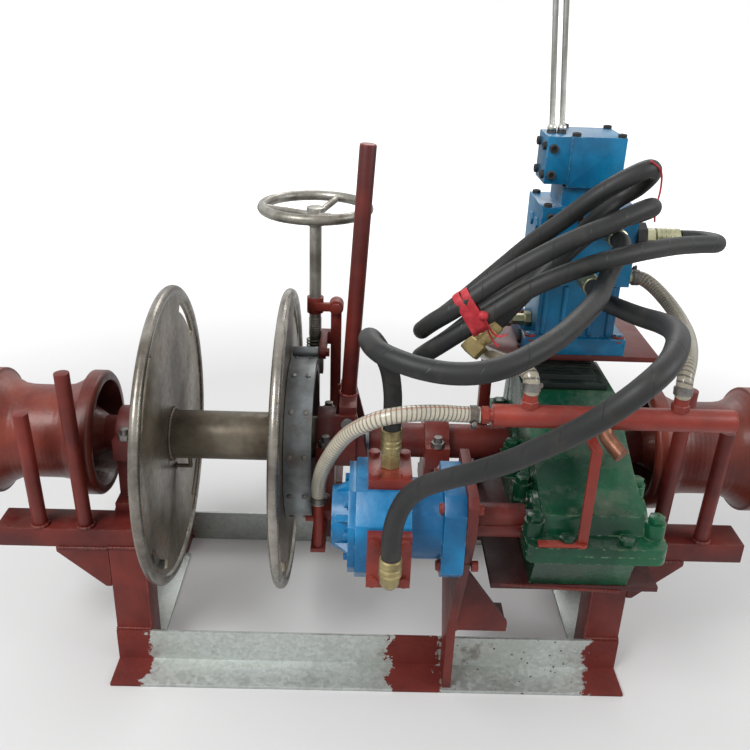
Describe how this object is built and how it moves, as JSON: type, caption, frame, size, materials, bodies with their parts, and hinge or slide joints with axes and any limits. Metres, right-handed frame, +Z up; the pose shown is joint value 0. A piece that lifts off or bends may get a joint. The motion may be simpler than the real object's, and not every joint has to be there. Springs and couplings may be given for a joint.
{
  "type": "hydraulic net hauler",
  "caption": "Deck-mounted hydraulic net hauler: drum with band brake, jaw clutch and warping heads on one shaft, gearbox, motor and control valve on a welded frame.",
  "frame": {"origin": "on the ground under the middle of the machine, midway along the shaft and midway from the front hose elbow to the rear base angle", "axes": "+X along the main shaft towards the valve end, +Y away from the front, where the motor is, +Z up"},
  "size_m": [1.11, 0.7076, 0.962],
  "materials": {
    "galvanised": "satin",
    "red_oxide": "satin",
    "gear_steel": "satin",
    "shaft_steel": "satin",
    "bolt_steel": "satin",
    "bronze": "satin",
    "drum_steel": "matte",
    "brake_steel": "matte",
    "band_steel": "satin",
    "lining": "matte",
    "wheel_iron": "satin",
    "gearbox_green": "satin",
    "dark_green": "satin",
    "motor_blue": "satin",
    "valve_blue": "satin",
    "yellow_zinc": "satin",
    "lever_steel": "polished",
    "hose_rubber": "satin",
    "clear_hose": "gloss",
    "red_tape": "satin"
  },
  "bodies": {
    "frame": {"base_angles": "galvanised", "base_cross_angles": "galvanised", "corner_posts": "red_oxide", "rope_arms": "red_oxide", "side_rails": "red_oxide", "arm_gussets": "red_oxide", "guide_bars": "red_oxide", "shaft_beam": "red_oxide", "gearbox_plate": "red_oxide", "motor_bracket": "red_oxide", "bearing_housings": "red_oxide", "bearing_bushes": "bronze", "bearing_bolts": "bolt_steel", "gearbox_bearings": "gear_steel", "gearbox_lower_casing": "gearbox_green", "gearbox_upper_casing": "gearbox_green", "gearbox_top_cover": "dark_green", "gearbox_bolts": "bolt_steel", "brake_band": "band_steel", "brake_lining": "lining", "brake_post": "red_oxide", "brake_nut_arm": "red_oxide", "clutch_pivot_pin": "bolt_steel", "motor_body": "motor_blue", "motor_end_cover": "motor_blue", "motor_bolts": "bolt_steel", "port_plates": "red_oxide", "hose_fittings": "yellow_zinc", "valve_platform": "red_oxide", "valve_body": "valve_blue", "valve_head": "valve_blue", "water_manifold": "red_oxide", "manifold_stays": "red_oxide", "water_nozzle": "red_oxide", "motor_hoses": "hose_rubber", "supply_hose": "hose_rubber", "supply_nut": "yellow_zinc", "hose_tie": "red_tape", "water_hoses": "clear_hose"},
    "shaft": {"main_shaft": "shaft_steel", "warping_head_left": "red_oxide", "warping_head_right": "red_oxide", "shaft_collars": "bolt_steel", "output_gear": "gear_steel"},
    "intermediate": {"intermediate_gears": "gear_steel"},
    "input": {"input_pinion": "gear_steel", "shaft_coupling": "red_oxide"},
    "drum": {"drum_core": "drum_steel", "drum_flange_left": "drum_steel", "drum_flange_right": "drum_steel", "drum_bushes": "bronze", "brake_drum": "brake_steel"},
    "clutch_arm": {"clutch_fork": "red_oxide", "clutch_lever": "red_oxide"},
    "sleeve": {"clutch_sleeve": "gear_steel"},
    "swivel": {"brake_swivel": "bolt_steel"},
    "screw": {"brake_spindle": "bolt_steel", "handwheel": "wheel_iron"},
    "lever_left": {"valve_lever_left": "lever_steel"},
    "lever_right": {"valve_lever_right": "lever_steel"}
  },
  "joints": [
    {"name": "shaft_spin", "type": "hinge", "parent": "frame", "child": "shaft", "pos_m": [0, 0.043, 0.321], "axis": [1, 0, 0], "continuous": true},
    {"name": "intermediate_spin", "type": "hinge", "parent": "frame", "child": "intermediate", "pos_m": [0.261, -0.067, 0.321], "axis": [1, 0, 0], "continuous": true},
    {"name": "input_spin", "type": "hinge", "parent": "frame", "child": "input", "pos_m": [0.15, -0.157, 0.321], "axis": [1, 0, 0], "continuous": true},
    {"name": "drum_spin", "type": "hinge", "parent": "frame", "child": "drum", "pos_m": [-0.21, 0.043, 0.321], "axis": [1, 0, 0], "continuous": true},
    {"name": "clutch_turn", "type": "hinge", "parent": "frame", "child": "clutch_arm", "pos_m": [-0.039, 0.043, 0.372], "axis": [0, 1, 0], "range_deg": [0, 9]},
    {"name": "clutch_slide", "type": "slide", "parent": "shaft", "child": "sleeve", "axis": [1, 0, 0], "range_m": [-0.0081, 0]},
    {"name": "brake_take_up", "type": "slide", "parent": "frame", "child": "swivel", "axis": [0, 0, 1], "range_m": [0, 0.006]},
    {"name": "handwheel_turn", "type": "hinge", "parent": "swivel", "child": "screw", "pos_m": [-0.094, 0.169, 0.629], "axis": [0, 0, 1], "range_deg": [0, 720]},
    {"name": "valve_lever_left", "type": "hinge", "parent": "frame", "child": "lever_left", "pos_m": [0.215, 0.077, 0.7633], "axis": [1, 0, 0], "range_deg": [-18, 18], "stiffness_Nm_per_rad": 0.5},
    {"name": "valve_lever_right", "type": "hinge", "parent": "frame", "child": "lever_right", "pos_m": [0.228, 0.077, 0.7633], "axis": [1, 0, 0], "range_deg": [-18, 18], "stiffness_Nm_per_rad": 0.5}
  ],
  "couplings": [
    {"joint": "intermediate_spin", "follows": "shaft_spin", "ratio": -1.8947},
    {"joint": "input_spin", "follows": "shaft_spin", "ratio": 6.2256},
    {"joint": "clutch_slide", "follows": "clutch_turn", "m_per_rad": -0.051},
    {"joint": "brake_take_up", "follows": "handwheel_turn", "m_per_rad": 0.00047746}
  ]
}
